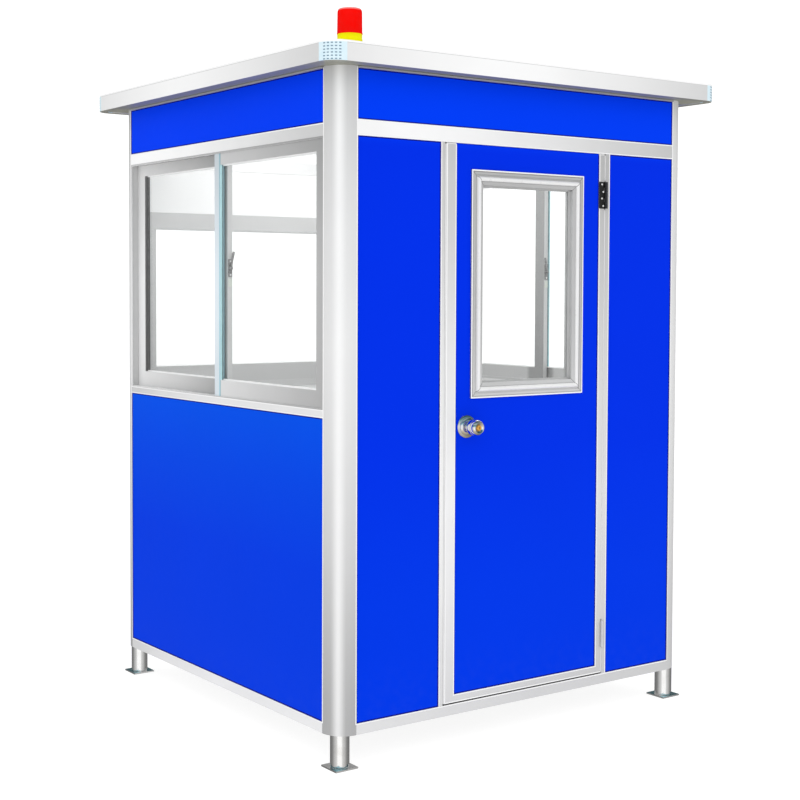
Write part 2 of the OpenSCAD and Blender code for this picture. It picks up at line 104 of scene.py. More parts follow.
def rgb(red, green, blue):
    """The colour that shows as these sRGB values, from 0 to 255, in the studio's light."""
    def linear(value):
        share = value / 255
        return share / 12.92 if share <= 0.04045 else ((share + 0.055) / 1.055) ** 2.4
    return tuple(linear(value) / STUDIO for value in (red, green, blue))


def greys(*marks):
    """Marks of (place, sRGB grey value) with their tones."""
    return [(place, tone(value)) for place, value in marks]


class Nodes:
    """A node tree in the making. Each call adds its nodes and returns what they give out."""

    def __init__(self, tree):
        self.tree = tree

    def add(self, kind, inputs=None, **attributes):
        node = self.tree.nodes.new(kind)
        for attribute, value in attributes.items():
            setattr(node, attribute, value)
        for socket, value in (inputs or {}).items():
            self.feed(node.inputs[socket], value)
        return node

    def feed(self, socket, value):
        if isinstance(value, bpy.types.NodeSocket):
            self.tree.links.new(value, socket)
        else:
            socket.default_value = value

    def math(self, operation, first, second=0.0, clamp=False):
        node = self.add("ShaderNodeMath", {0: first, 1: second}, operation=operation)
        node.use_clamp = clamp
        return node.outputs[0]

    def ramp(self, value, start, end, low=0.0, high=1.0):
        """Takes a value from low to high as it goes from start to end."""
        inputs = {"Value": value, "From Min": start, "From Max": end, "To Min": low, "To Max": high}
        return self.add("ShaderNodeMapRange", inputs).outputs["Result"]

    def follow(self, value, marks):
        """A colour that runs through marks of (value, colour or number), straight between them."""
        start, end = marks[0][0], marks[-1][0]
        node = self.add("ShaderNodeValToRGB", {"Fac": self.ramp(value, start, end)})
        stops = node.color_ramp.elements
        ends = [stops[0]] + [stops.new((place - start) / (end - start)) for place, colour in marks[1:-1]]
        for stop, (place, colour) in zip(ends + [stops[len(stops) - 1]], marks):
            stop.color = (*colour, 1.0) if isinstance(colour, tuple) else (colour, colour, colour, 1.0)
        return node.outputs["Color"]

    def mix(self, factor, first, second, blend="MIX"):
        """A colour between two colours, each an RGB triple or an output."""
        node = self.add("ShaderNodeMix", data_type="RGBA", blend_type=blend)
        for index, value in ((0, factor), (6, first), (7, second)):
            self.feed(node.inputs[index], (*value, 1.0) if isinstance(value, tuple) else value)
        return node.outputs[2]

    def scale(self, colour, factor):
        return self.mix(1.0, colour, factor, "MULTIPLY")


class Finish(Nodes):
    """One procedural Principled material."""

    def __init__(self, name, **settings):
        self.material = bpy.data.materials.new(name)
        self.material.use_nodes = True
        super().__init__(self.material.node_tree)
        self.shader = self.tree.nodes["Principled BSDF"]
        coordinates = self.add("ShaderNodeTexCoord").outputs
        self.place = coordinates["Object"]
        self.point = self.add("ShaderNodeSeparateXYZ", {"Vector": self.place}).outputs
        self.normal = self.add("ShaderNodeSeparateXYZ", {"Vector": coordinates["Normal"]}).outputs
        for socket, value in settings.items():
            self.shader.inputs[socket.replace("_", " ")].default_value = value

    def noise(self, size, stretch=(1, 1, 1), detail=2.0):
        """Noise with features of a size in metres, drawn out along an axis by a stretch over 1."""
        scale = [1 / (size * factor) for factor in stretch]
        where = self.add("ShaderNodeMapping", {"Vector": self.place, "Scale": scale})
        inputs = {"Vector": where.outputs["Vector"], "Scale": 1.0, "Detail": detail}
        return self.add("ShaderNodeTexNoise", inputs).outputs["Fac"]

    def squarely(self, letter):
        """How squarely the surface faces along an axis, from 0 to 1."""
        return self.math("ABSOLUTE", self.normal[letter])

    def run(self):
        """Metres from the middle of a wall, rightwards as seen from outside."""
        across = self.math("MULTIPLY", self.normal["X"], self.point["Y"])
        along = self.math("MULTIPLY", self.normal["Y"], self.point["X"])
        return self.math("SUBTRACT", across, along)

    def beyond(self, margin_x, margin_y):
        """1 outside a rectangle that lies inside the walls' outer faces by two margins."""
        over_x = self.math("SUBTRACT", self.math("ABSOLUTE", self.point["X"]), shell_high.x - margin_x)
        over_y = self.math("SUBTRACT", self.math("ABSOLUTE", self.point["Y"]), shell_high.y - margin_y)
        return self.math("GREATER_THAN", self.math("MAXIMUM", over_x, over_y), 0.0)

    def mitres(self):
        """1 along the mitred corners of the trim round the door's window."""
        low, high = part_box("door_window_trim")
        past_x = self.math("ABSOLUTE", self.math("SUBTRACT", self.point["X"], (low.x + high.x) / 2))
        past_z = self.math("ABSOLUTE", self.math("SUBTRACT", self.point["Z"], (low.z + high.z) / 2))
        slant = self.math("SUBTRACT", past_x, past_z)
        off = self.math("SUBTRACT", slant, ((high.x - low.x) - (high.z - low.z)) / 2)
        return self.math("LESS_THAN", self.math("ABSOLUTE", off), 1.1 * MM)

    def colour(self, value):
        self.feed(self.shader.inputs["Base Color"], value)

    def roughness(self, factor, low, high):
        self.feed(self.shader.inputs["Roughness"], self.ramp(factor, 0.3, 0.7, low, high))

    def bump(self, height, distance, strength=0.5):
        inputs = {"Height": height, "Distance": distance, "Strength": strength}
        self.feed(self.shader.inputs["Normal"], self.add("ShaderNodeBump", inputs).outputs["Normal"])

    def satin(self, shade, grain, rough, swing=0.04):
        """Satin aluminium of a shade: faint die lines, with handling marks in patches."""
        lines = self.noise(0.9 * MM, grain)
        patches = self.noise(0.16, detail=4.0)
        smudges = self.noise(18 * MM, detail=3.0)
        self.colour(self.scale(shade, self.ramp(patches, 0.3, 0.7, 1.0, 1.0 - swing)))
        share = self.math("ADD", self.math("MULTIPLY", lines, 0.4), self.math("MULTIPLY", smudges, 0.6))
        self.roughness(share, rough - 0.06, rough + 0.1)
        self.bump(lines, 0.04 * MM, 0.3)
        return self.material


VERTICAL = (1, 1, 60)
LEVEL = (60, 60, 1)
EVEN = (1, 1, 1)


def header_aluminium():
    """Anodised header beams, with painted light that grows towards their left ends and on their side faces.
    """
    finish = Finish("header_aluminium", Metallic=0.04)
    # painted light: the tone runs brighter towards the left end of each wall
    marks = greys((-0.75, 252), (-0.45, 254), (-0.2, 248), (0.0, 239), (0.25, 226), (0.45, 214),
                  (0.75, 197))
    shade = finish.follow(finish.run(), marks)
    # painted light: faces turned along X are made brighter
    painted_side_light = finish.ramp(finish.squarely("X"), 0.0, 1.0, 1.0, 1.09)
    return finish.satin(finish.scale(shade, painted_side_light), LEVEL, 0.4)


def beam_aluminium():
    """Anodised base beams and window boards, with painted light that runs along each wall and painted light
    that brightens them near the floor.
    """
    finish = Finish("beam_aluminium", Metallic=0.06)
    run = finish.run()
    # painted light: tones that run along the end walls and along the side walls
    ends = finish.follow(run, greys((-0.7, 226), (-0.4, 219), (0.05, 212), (0.75, 202)))
    sides = finish.follow(run, greys((-0.7, 210), (-0.4, 229), (-0.1, 239), (0.7, 238)))
    # painted light: brighter near the floor, where shade falls
    low = finish.ramp(finish.point["Z"], 0.1, 1.0, 1.09, 1.0)
    return finish.satin(finish.scale(finish.mix(finish.squarely("X"), ends, sides), low), LEVEL, 0.4)


def post_aluminium():
    """Anodised corner posts with a painted soft highlight down the middle of their curve, painted shade on
    their flanks towards the foot and the top, and painted light on the right-hand posts.
    """
    finish = Finish("post_aluminium", Metallic=0.08)
    height = finish.point["Z"]
    # painted shade: the flanks darken towards the foot and the top
    painted_flank_shade = greys((0.14, 179), (0.21, 182), (0.37, 192), (0.52, 202), (0.67, 212), (0.97, 224),
                  (1.27, 232), (1.42, 231), (1.72, 224), (1.9, 216), (2.1, 207))
    # painted highlight: the tone of the bright band down the middle of the curve
    crest = greys((0.1, 235), (0.8, 245), (1.3, 249), (1.7, 247), (2.1, 243))
    corner = finish.math("MULTIPLY", finish.squarely("X"), finish.squarely("Y"))
    share = finish.follow(corner, [(0.4, 0.0), (0.45, 0.28), (0.487, 0.72), (0.5, 1.0)])
    # painted light: the posts on the right are made lighter
    painted_right_light = finish.ramp(finish.point["X"], 0.0, 0.1, 0.0, 0.5)
    sides = finish.mix(painted_right_light, finish.follow(height, painted_flank_shade), tone(238))
    shade = finish.mix(share, sides, finish.follow(height, crest))
    return finish.satin(shade, VERTICAL, 0.36, swing=0.02)


def stile_aluminium():
    """Anodised door posts and door frame, with painted light that is brightest at the height of the knob
    and painted shade towards the right of the wall.
    """
    finish = Finish("stile_aluminium", Metallic=0.06)
    # painted light: brightest at the knob's height, darker above and below
    marks = greys((0.15, 224), (0.3, 232), (0.46, 239), (0.62, 245), (0.8, 246), (1.1, 241),
                  (1.25, 235), (1.41, 227), (1.57, 218), (1.73, 209), (1.9, 203))
    # painted shade: darker towards the right, as if turned away from the light
    painted_turned_shade = finish.ramp(finish.run(), -0.32, 0.36, 1.0, 0.84)
    return finish.satin(finish.scale(finish.follow(finish.point["Z"], marks), painted_turned_shade), VERTICAL, 0.38)


def window_aluminium(name, marks, upright, top=0.74):
    """Window profiles: grey faces with painted light that runs along each wall and painted shade towards
    their tops and feet, painted shade on the faces that look into the cabin, upright edges painted darker
    towards the back, and near-white level faces as painted highlights along the rails' edges.
    """
    finish = Finish(name, Metallic=0.06)
    # painted shade: darker towards the top and the foot of the window
    painted_height_shade = [(1.1, 0.9), (1.3, 0.97), (1.5, 1.0), (1.7, 0.9), (1.92, top)]
    height = finish.follow(finish.point["Z"], painted_height_shade)
    # painted light: the marks run the tone along each wall
    shade = finish.scale(finish.follow(finish.run(), marks), height)
    # painted shade on the faces that look into the cabin, deepest near the middle of the wall
    inwards = finish.math("LESS_THAN", finish.math("MULTIPLY", finish.normal["X"], finish.point["X"]), -0.2)
    painted_room_shade = finish.follow(finish.point["Y"], greys((-0.07, 198), (-0.05, 158), (0.05, 158), (0.07, 198)))
    shade = finish.mix(inwards, shade, painted_room_shade)
    # painted shade: upright edges are made darker towards the back
    edge = finish.follow(finish.point["Y"], [(0.2, upright[0]), (0.3, upright[1])])
    shade = finish.mix(finish.math("GREATER_THAN", finish.squarely("Y"), 0.7), shade, edge)
    # painted highlight: level faces are made near-white
    shade = finish.mix(finish.math("GREATER_THAN", finish.squarely("Z"), 0.7), shade, tone(250))
    return finish.satin(shade, EVEN, 0.42)


def sandwich_skin():
    """Coated steel skin: deep blue outside, made lighter by painted light on the side walls round
    mid-height and on the frieze, and off-white inside, with a faint orange peel.
    """
    finish = Finish("blue_panel", Specular_IOR_Level=0.01)
    height = finish.point["Z"]
    swirls = finish.noise(0.5, detail=3.0)
    peel = finish.noise(2.5 * MM, detail=2.0)
    dust = finish.noise(30 * MM, detail=4.0)
    # painted light: the blue is lighter on the side walls round mid-height and on the frieze above the
    # header
    ends = [(0.14, rgb(1, 58, 233)), (0.5, rgb(1, 57, 233)), (0.95, rgb(1, 50, 232)),
            (1.9, rgb(1, 48, 232)), (1.96, rgb(0, 62, 248)), (2.13, rgb(0, 64, 255))]
    sides = [(0.14, rgb(1, 60, 228)), (0.6, rgb(1, 61, 228)), (0.86, rgb(1, 71, 229)),
             (1.07, rgb(1, 81, 232)), (1.9, rgb(0, 62, 248)), (2.13, rgb(0, 64, 255))]
    blue = finish.mix(finish.squarely("X"), finish.follow(height, ends), finish.follow(height, sides))
    blue = finish.scale(blue, finish.ramp(swirls, 0.25, 0.75, 1.0, 0.97))
    low = finish.ramp(height, FLOOR_Z + 0.2, FLOOR_Z, 0.0, 0.06)
    blue = finish.mix(finish.math("MULTIPLY", low, finish.ramp(dust, 0.4, 0.7)), blue, rgb(70, 100, 220))
    white = finish.mix(finish.ramp(swirls, 0.3, 0.7), tone(250), tone(244))
    finish.colour(finish.mix(finish.beyond(25 * MM, 20 * MM), white, blue))
    finish.roughness(dust, 0.38, 0.5)
    finish.bump(peel, 0.05 * MM, 0.2)
    return finish.material


def clear_glass():
    """Thin clear glass that lets light through to what stands behind it."""
    finish = Finish("clear_glass", Transmission_Weight=1.0, IOR=1.25)
    finish.colour(finish.mix(finish.noise(0.6), (0.985, 1.0, 0.995), (1.0, 1.0, 1.0)))
    smears = finish.noise(0.12, stretch=(1, 1, 3), detail=4.0)
    finish.feed(finish.shader.inputs["Roughness"], finish.ramp(smears, 0.6, 0.85, 0.0, 0.03))
    path = finish.add("ShaderNodeLightPath")
    through = finish.math("MAXIMUM", path.outputs["Is Shadow Ray"], path.outputs["Is Diffuse Ray"])
    clear = finish.add("ShaderNodeBsdfTransparent", {"Color": (0.98, 0.99, 0.99, 1.0)})
    shaders = {0: through, 1: finish.shader.outputs[0], 2: clear.outputs[0]}
    mixed = finish.add("ShaderNodeMixShader", shaders)
    finish.feed(finish.tree.nodes["Material Output"].inputs["Surface"], mixed.outputs[0])
    return finish.material


def plastic(name, light, dark, rough, size=25 * MM, **settings):
    """Moulded plastic or rubber: a little cloudy, with a fine mould texture."""
    finish = Finish(name, **settings)
    clouds = finish.noise(size, detail=3.0)
    finish.colour(finish.mix(finish.ramp(clouds, 0.3, 0.7), light, dark))
    finish.roughness(clouds, rough, rough + 0.12)
    finish.bump(finish.noise(0.8 * MM), 0.04 * MM, 0.3)
    return finish.material


def red_lens():
    """Clear red plastic, with a painted pale highlight along its top edge."""
    finish = Finish("red_lens", Specular_IOR_Level=0.06)
    clouds = finish.noise(20 * MM, detail=3.0)
    red = finish.mix(finish.ramp(clouds, 0.3, 0.7), rgb(255, 6, 0), rgb(252, 14, 4))
    # painted highlight: pale pink towards the top edge
    painted_top_highlight = finish.ramp(finish.point["Z"], LIGHT_TOP - 7 * MM, LIGHT_TOP - 2 * MM, 0.0, 0.55)
    finish.colour(finish.mix(painted_top_highlight, red, rgb(255, 214, 208)))
    finish.roughness(clouds, 0.15, 0.25)
    finish.bump(finish.noise(0.8 * MM), 0.03 * MM, 0.2)
    return finish.material


def bare_metal(name, light, dark, rough, grain=EVEN, spangle=12 * MM, metallic=1.0):
    """Bare metal: spangled or brushed, duller in patches."""
    finish = Finish(name, Metallic=metallic)
    spangles = finish.noise(spangle, detail=4.0)
    brushing = finish.noise(0.6 * MM, grain)
    finish.colour(finish.mix(finish.ramp(spangles, 0.35, 0.65), light, dark))
    finish.roughness(spangles, rough, rough + 0.08)
    finish.bump(brushing, 0.02 * MM, 0.2)
    return finish.material


def hinge_metal():
    """Blackened hinge on top, and one painted like the frame at the foot of the door."""
    finish = Finish("hinge_metal", Metallic=0.3)
    upper = finish.math("GREATER_THAN", finish.point["Z"], 1.0)
    return finish.satin(finish.mix(upper, tone(222), tone(40)), VERTICAL, 0.35)


def roof_skin():
    """Coated roof panel: white in the cabin, grey under the overhang as painted shade, tinted warm against
    the blue bounced onto it, and pale grey on top.
    """
    finish = Finish("roof_panel", IOR=1.45)
    stains = finish.noise(0.35, detail=5.0)
    dirt = finish.noise(9 * MM, detail=3.0)
    top = finish.math("GREATER_THAN", finish.point["Z"], ROOF_TOP - 20 * MM)
    # painted shade: the underside of the overhang outside the walls is made grey
    under = finish.mix(finish.beyond(30 * MM, 30 * MM), tone(246), rgb(150, 150, 138))
    weathered = finish.mix(finish.ramp(stains, 0.3, 0.7), tone(226), rgb(218, 219, 216))
    finish.colour(finish.mix(top, under, weathered))
    finish.roughness(dirt, 0.4, 0.6)
    finish.bump(dirt, 0.1 * MM, 0.25)
    return finish.material


def roof_trim():
    """White coated edge trim with a dark joint under its top edge, painted light that runs along each wall,
    and painted grey shade on its undersides.
    """
    finish = Finish("roof_trim", Specular_IOR_Level=0.3)
    clouds = finish.noise(0.3, detail=3.0)
    # painted light: the tone runs along each wall
    marks = greys((-0.78, 231), (-0.5, 242), (-0.2, 250), (0.0, 248), (0.2, 240), (0.4, 232), (0.6, 222),
                  (0.78, 214))
    shade = finish.follow(finish.run(), marks)
    joint = finish.math("GREATER_THAN", finish.point["Z"], ROOF_TOP - 1.6 * MM)
    level = finish.math("LESS_THAN", finish.squarely("Z"), 0.5)
    shade = finish.mix(finish.math("MULTIPLY", joint, level), shade, tone(205))
    # painted shade: faces turned down are made grey
    shade = finish.mix(finish.math("LESS_THAN", finish.normal["Z"], -0.5), shade, rgb(146, 146, 134))
    finish.colour(finish.scale(shade, finish.ramp(clouds, 0.3, 0.7, 1.0, 0.97)))
    finish.roughness(clouds, 0.38, 0.5)
    finish.bump(finish.noise(0.8 * MM), 0.03 * MM, 0.25)
    return finish.material


def corner_plastic():
    """Pale blue moulded corner pieces, with painted grey shade underneath."""
    finish = Finish("corner_plastic", Specular_IOR_Level=0.3)
    clouds = finish.noise(25 * MM, detail=3.0)
    blue = finish.mix(finish.ramp(clouds, 0.3, 0.7), rgb(226, 244, 251), rgb(214, 238, 248))
    # painted shade: faces turned down are made grey
    under = finish.math("LESS_THAN", finish.normal["Z"], -0.5)
    finish.colour(finish.mix(under, blue, rgb(146, 146, 134)))
    finish.roughness(clouds, 0.25, 0.37)
    finish.bump(finish.noise(0.8 * MM), 0.04 * MM, 0.3)
    return finish.material


def floor_board():
    """Grey vinyl floor with a pebbled surface and scuffs."""
    finish = Finish("floor", IOR=1.45)
    flecks = finish.noise(3 * MM, detail=4.0)
    scuffs = finish.noise(90 * MM, stretch=(1, 4, 1), detail=5.0)
    speckled = finish.mix(finish.ramp(flecks, 0.45, 0.6), tone(160), tone(186))
    finish.colour(finish.mix(finish.ramp(scuffs, 0.55, 0.75, 0.0, 0.5), speckled, tone(136)))
    finish.roughness(scuffs, 0.4, 0.6)
    finish.bump(flecks, 0.3 * MM, 0.4)
    return finish.material


def trim_aluminium():
    """Moulded trim round the door's window, with painted light that makes it lighter towards its foot and
    painted shade on its upright reveals.
    """
    finish = Finish("trim_aluminium", Metallic=0.08)
    # painted light: lighter towards the foot of the window
    marks = greys((1.1, 214), (1.2, 206), (1.4, 194), (1.84, 190))
    # painted shade on the reveals that face along X
    painted_reveal_shade = finish.math("GREATER_THAN", finish.squarely("X"), 0.8)
    shade = finish.mix(painted_reveal_shade, finish.follow(finish.point["Z"], marks), tone(184))
    return finish.satin(finish.mix(finish.mitres(), shade, tone(120)), EVEN, 0.34)


def trim_crown():
    """Crown of the trim round the door's window, made bright as a painted highlight."""
    finish = Finish("trim_crown", Metallic=0.08)
    # painted highlight: the crown is made near-white, apart from its mitre lines
    return finish.satin(finish.mix(finish.mitres(), tone(246), tone(120)), EVEN, 0.3)


MATERIALS = {
    "blue_panel": sandwich_skin(),
    "header": header_aluminium(),
    "beam": beam_aluminium(),
    "post": post_aluminium(),
    "stile": stile_aluminium(),
    # painted light: the window finishes run their tones along each wall, and their back upright edges are
    # darker as painted shade
    "window": window_aluminium("window_frame_aluminium", greys((-0.65, 240), (0.65, 190)),
                               (tone(240), tone(206))),
    "inner_sash": window_aluminium("inner_sash_aluminium",
                                   greys((-0.65, 255), (0.0, 184), (0.06, 186), (0.1, 204)),
                                   (tone(214), tone(112)), top=0.78),
    "outer_sash": window_aluminium("outer_sash_aluminium",
                                   [(-0.03, rgb(238, 246, 254)), (0.008, rgb(236, 248, 254)),
                                    (0.010, rgb(188, 232, 246)), (0.0175, rgb(150, 192, 204))]
                                   + greys((0.02, 240), (0.65, 190)),
                                   (rgb(158, 190, 198), rgb(158, 190, 198))),
    # painted highlight: the white of the edge beads on frames and trims; the roof's lip is white too
    "bead": plastic("bead_white", tone(254), tone(250), 0.35, size=0.2),
    # painted shadow: dark navy for the lines round the blue panels
    "joint": plastic("shadow_line_navy", rgb(0, 14, 150), rgb(2, 18, 140), 0.5, size=0.1,
                     Specular_IOR_Level=0.05),
    # painted light: pale grey for seals that fill the door's gaps
    "seal": plastic("seal_grey", tone(236), tone(230), 0.45, size=0.1),
    "glass_seal": plastic("glass_seal", tone(190), tone(176), 0.45, size=0.1),
    "trim": trim_aluminium(),
    "glass": clear_glass(),
    "leg": bare_metal("leg_steel", tone(255), tone(248), 0.12, spangle=30 * MM),
    "hinge": hinge_metal(),
    "catch": bare_metal("catch_metal", tone(168), tone(112), 0.25, spangle=7 * MM, metallic=0.5),
    "knob": bare_metal("knob_steel", tone(246), tone(236), 0.06, spangle=40 * MM),
    "brass": bare_metal("brass", rgb(250, 190, 90), rgb(236, 170, 70), 0.2, spangle=6 * MM, metallic=0.4),
    "screw": bare_metal("screw_steel", tone(250), tone(240), 0.25, spangle=4 * MM, metallic=0.2),
    "roof_panel": roof_skin(),
    "roof_trim": roof_trim(),
    "cap": corner_plastic(),
    # painted shade: darker blue-grey for the hollows of the caps' slots
    "cap_slot": plastic("corner_slot", rgb(126, 154, 172), rgb(108, 134, 156), 0.4),
    "light_base": plastic("light_base_plastic", rgb(255, 250, 0), rgb(255, 242, 0), 0.25,
                          Specular_IOR_Level=0.06),
    "lens": red_lens(),
    # painted highlight: the bright crown of the door's window trim
    "crown": trim_crown(),
    # painted highlight: white lines at the panes' edges
    "window_line": plastic("window_line", tone(254), tone(248), 0.4, size=0.2),
    # painted shade: grey for the band under the overhang
    "soffit": plastic("soffit_angle", tone(176), tone(168), 0.45, size=0.2),
    "gasket": plastic("pane_gasket", tone(118), tone(100), 0.45, size=12 * MM),
    "teal": plastic("gasket_teal", rgb(206, 248, 250), rgb(190, 238, 244), 0.4, size=20 * MM),
    # painted shadow: dark blue-grey for the gap between the sashes
    "gap_shadow_strip": plastic("gasket_gap_shadow", rgb(138, 166, 172), rgb(124, 150, 156), 0.45, size=20 * MM),
    "catch_block": plastic("catch_block", rgb(222, 226, 218), rgb(210, 216, 208), 0.35),
    "black": plastic("black_rubber", tone(38), tone(52), 0.5, size=12 * MM),
    "floor": floor_board(),
}

NODE_FINISH = {
    "leg_": "leg", "post_": "post", "base_beams": "beam", "sill_rails": "beam", "header_beams": "header",
    "floor_panel": "floor", "panel_": "blue_panel", "frieze_panels": "blue_panel",
    "door_panel": "blue_panel", "door_jamb_": "stile", "door_frame": "stile", "window_frame_": "window",
    "_sash_inner": "inner_sash", "_sash_outer": "outer_sash", "glass": "glass", "catches": "catch",
    "roof_panel": "roof_panel", "fascia": "roof_trim", "corner_caps": "cap", "light_base": "light_base",
    "light_lens": "lens", "hinge_leaves": "hinge", "window_trim": "trim", "knob": "knob",
}


def finish_cad_nodes():
    """Gives each CAD node the finish of the longest key that its name holds."""
    for name, node in cad.items():
        keys = [key for key in NODE_FINISH if key in name]
        node.data.materials.clear()
        node.data.materials.append(MATERIALS[NODE_FINISH[max(keys, key=len)]])


# ---- mesh work

def turned(profile, steps=48):
    """Loops of a profile of (radius, height) points turned round Z."""
    turns = [math.tau * step / steps for step in range(steps)]
    return [[(radius * math.cos(turn), radius * math.sin(turn), height) for turn in turns]
            for radius, height in profile]


class Solid:
    """A mesh piece in the making. Shapes are drawn in a given frame and land in the CAD's frame."""

    def __init__(self, name):
        self.name = name
        self.mesh = bmesh.new()

    def skin(self, loops, where, closed=False):
        """Joins like loops of points into one closed skin, capped at its ends unless it closes."""
        rows = [[self.mesh.verts.new(where @ Vector(point)) for point in loop] for loop in loops]
        pairs = list(zip(rows, rows[1:]))
        if closed:
            pairs.append((rows[-1], rows[0]))
        for lower, upper in pairs:
            for index in range(len(lower)):
                after = (index + 1) % len(lower)
                self.mesh.faces.new((lower[index], lower[after], upper[after], upper[index]))
        if not closed:
            self.mesh.faces.new(rows[0][::-1])
            self.mesh.faces.new(rows[-1])
        return self

    def block(self, low, high, where):
        """A box from its lowest to its highest corner."""
        outline = [(low[0], low[1]), (high[0], low[1]), (high[0], high[1]), (low[0], high[1])]
        return self.skin([[(x, y, z) for x, y in outline] for z in (low[2], high[2])], where)

    def ring(self, low, high, profile, where):
        """A profile of (outward, depth) points led round a rectangle in a wall, mitred at its corners."""
        loops = [[(low[0] - out, depth, low[1] - out), (high[0] + out, depth, low[1] - out),
                  (high[0] + out, depth, high[1] + out), (low[0] - out, depth, high[1] + out)]
                 for out, depth in profile]
        return self.skin(loops, where, closed=True)

    def lathe(self, profile, where, steps):
        """A profile of (radius, height) points turned round the frame's Z axis, capped at its ends."""
        return self.skin(turned(profile, steps), where)

    def make(self, body, material, slot=None, soft=0.0):
        """Makes the object, which rides on a body, with its edges rounded by soft."""
        bmesh.ops.remove_doubles(self.mesh, verts=self.mesh.verts, dist=1e-6)
        bmesh.ops.recalc_face_normals(self.mesh, faces=self.mesh.faces)
        data = bpy.data.meshes.new(self.name)
        self.mesh.to_mesh(data)
        self.mesh.free()
        data.shade_smooth()
        data.set_sharp_from_angle(angle=math.radians(32))
        piece = bpy.data.objects.new(self.name, data)
        scene.collection.objects.link(piece)
        data.materials.append(MATERIALS[material])
        if soft:
            round_edges(piece, soft)
        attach(piece, body)
        return piece


def round_edges(piece, width):
    bevel = piece.modifiers.new("rounded_edges", "BEVEL")
    bevel.width = width
    bevel.segments = 2
    bevel.limit_method = "ANGLE"
    bevel.angle_limit = math.radians(40)
    bevel.harden_normals = True


def soften_node(name, width):
    """Rounds the edges of a CAD node's mesh, whose faces come split at every edge."""
    node = cad[name]
    weld = node.modifiers.new("joined_faces", "WELD")
    weld.merge_threshold = 1e-5
    flat = node.modifiers.new("whole_faces", "DECIMATE")
    flat.decimate_type = "DISSOLVE"
    flat.angle_limit = math.radians(0.5)
    round_edges(node, width)


def arc(centre, radius, start, end, steps):
    """Points of an arc in a profile, with its angles in degrees."""
    angles = [math.radians(start + (end - start) * step / steps) for step in range(steps + 1)]
    return [(centre[0] + radius * math.cos(a), centre[1] + radius * math.sin(a)) for a in angles]


def facing(point, direction):
    """A frame at a point with its Z axis along a direction."""
    turn = Vector(direction).to_track_quat("Z", "Y").to_matrix().to_4x4()
    return Matrix.Translation(point) @ turn


# ---- walls

BEAD = 3.6 * MM                 # width of the white beads
PROUD = 0.6 * MM                # how far they stand out of the frame
BEAD_DEPTH = (-PROUD, 1 * MM)
SHADOW_W = 4 * MM                  # width of the dark lines painted as shadow round the panels
SHADOW_DEPTH = (SKIN_IN - 0.15 * MM, SKIN_IN + 0.1 * MM)


def strip(solid, wall, x, z, depth):
    """A straight bar in a wall's frame, from three (low, high) pairs."""
    solid.block((x[0], depth[0], z[0]), (x[1], depth[1], z[1]), wall)


def frame_beads():
    """Beads along the edges of the frame where it holds the panels and windows, coloured white as a painted
    highlight on those edges.
    """
    beads = Solid("frame_beads")
    jamb_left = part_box("door_jamb_left")[0].x
    jamb_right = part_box("door_jamb_right")[1].x
    for side, wall in WALLS.items():
        half = half_span(side)
        frieze = SIDE_FRIEZE_Z if side in SIDES else FRIEZE_Z
        levels = [frieze - BEAD, FLOOR_Z - BEAD]
        levels += [SILL_Z, WINDOW_Z - BEAD] if side in SIDES else [HEADER_Z]
        for low in levels:
            strip(beads, wall, (-half, half), (low, low + BEAD), BEAD_DEPTH)
        for x in (-half - BEAD, half):
            strip(beads, wall, (x, x + BEAD), (FLOOR_Z - BEAD, ROOF_Z), BEAD_DEPTH)
    for x in (jamb_left, jamb_right - BEAD):
        strip(beads, FRONT, (x, x + BEAD), (FLOOR_Z, HEADER_Z), BEAD_DEPTH)
    # painted highlight: the beads are white to stand for light along the frame's edges
    beads.make("booth", "bead", "frame_aluminium", soft=0.4 * MM)


def half_span(side):
    """Half the length of a wall between its posts."""
    return (shell_high.x if side not in SIDES else shell_high.y) - POST_R


def panel_shadow_lines():
    """Dark lines round the blue panels, inside the white beads, painted as the shadow along the frame's
    edges.
    """
    near, deep = SHADOW_DEPTH
    profile = [(0.0, near), (-SHADOW_W, near), (-SHADOW_W, deep), (0.0, deep)]
    holders = {"front": ["panel_front_left", "panel_front_right"],
               "back": ["panel_back_lower", "panel_back_upper"],
               "left": ["panel_left_lower"], "right": ["panel_right_lower"]}
    shade_lines = Solid("panel_shadow_lines")
    for side, names in holders.items():
        for name in names:
            low, high = box_of(name, wall=WALLS[side])
            shade_lines.ring((low.x, low.z), (high.x, high.z), profile, WALLS[side])
        half = half_span(side)
        frieze = SIDE_FRIEZE_Z if side in SIDES else FRIEZE_Z
        shade_lines.ring((-half, frieze), (half, ROOF_Z - 3 * MM), profile, WALLS[side])
    # painted shadow: the dark lines along the frame's edges
    shade_lines.make("booth", "joint", "blue_panel")


def soffit_angles():
    """Angles in the corner between the walls and the roof, coloured grey as painted shade under the
    overhang.
    """
    angles = Solid("soffit_angles")
    for side, wall in WALLS.items():
        half = half_span(side)
        strip(angles, wall, (-half, half), (ROOF_Z - 3 * MM, ROOF_Z + 2 * MM), (-6 * MM, 3 * MM))
    # painted shade: a grey band under the overhang
    angles.make("booth", "soffit", "roof_trim", soft=0.5 * MM)


